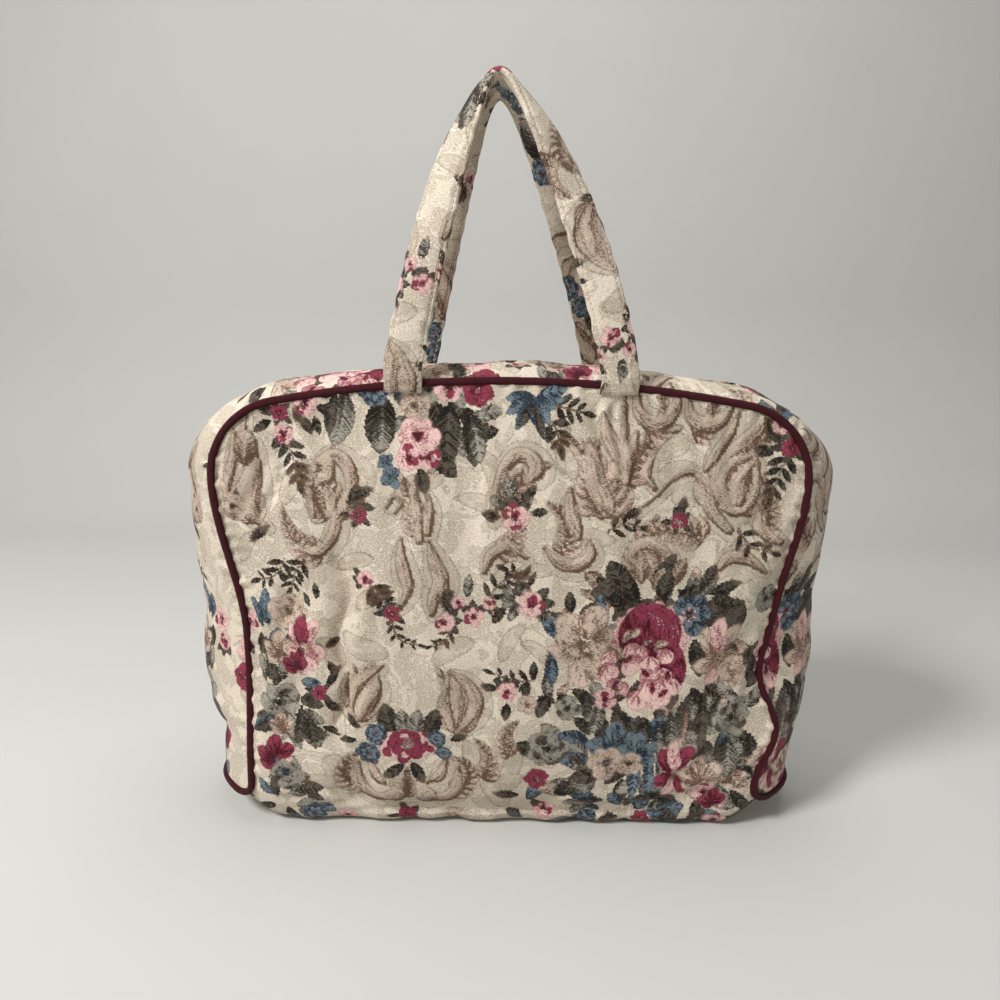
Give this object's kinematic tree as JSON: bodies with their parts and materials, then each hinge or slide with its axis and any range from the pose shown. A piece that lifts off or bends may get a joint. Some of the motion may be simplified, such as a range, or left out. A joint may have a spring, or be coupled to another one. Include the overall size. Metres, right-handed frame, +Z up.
{
  "type": "toiletry bag",
  "caption": "Soft toiletry bag of floral tapestry cloth with a boxed gusset, an arched zip top, piped seams and a pair of padded strap handles.",
  "frame": {"origin": "middle of the base, on the surface the bag stands on", "axes": "+X to the right across the front, +Y to the back, +Z up to the handles"},
  "size_m": [0.402, 0.1178, 0.449],
  "materials": {
    "tapestry": "woven floral tapestry",
    "piping": "covered cord",
    "zip_tape": "woven tape",
    "zip_chain": "nylon coil",
    "zip_metal": "polished, slightly worn",
    "lining": "plain weave"
  },
  "bodies": {
    "bag": {"main_panel": "tapestry", "gusset_left": "tapestry", "gusset_right": "tapestry", "zip_strip_front": "tapestry", "zip_strip_back": "tapestry", "handle_front": "tapestry", "handle_back": "tapestry", "piping": "piping", "zip_tape_front": "zip_tape", "zip_tape_back": "zip_tape", "zip_chain_front": "zip_chain", "zip_chain_back": "zip_chain", "zip_top_stops": "zip_metal", "zip_bottom_stop": "zip_metal", "lining": "lining", "lining_left": "lining", "lining_right": "lining"},
    "slider": {"zip_slider": "zip_metal"},
    "pull": {"zip_pull": "zip_metal"}
  },
  "joints": [
    {"name": "zip_travel", "type": "hinge", "parent": "bag", "child": "slider", "pos_m": [0, 0, -0.451], "axis": [0, 1, 0], "range_deg": [-16.8, 0]},
    {"name": "pull_swing", "type": "hinge", "parent": "slider", "child": "pull", "pos_m": [0.10764, 0, 0.2775], "axis": [0, 1, 0], "range_deg": [0, 180]}
  ]
}
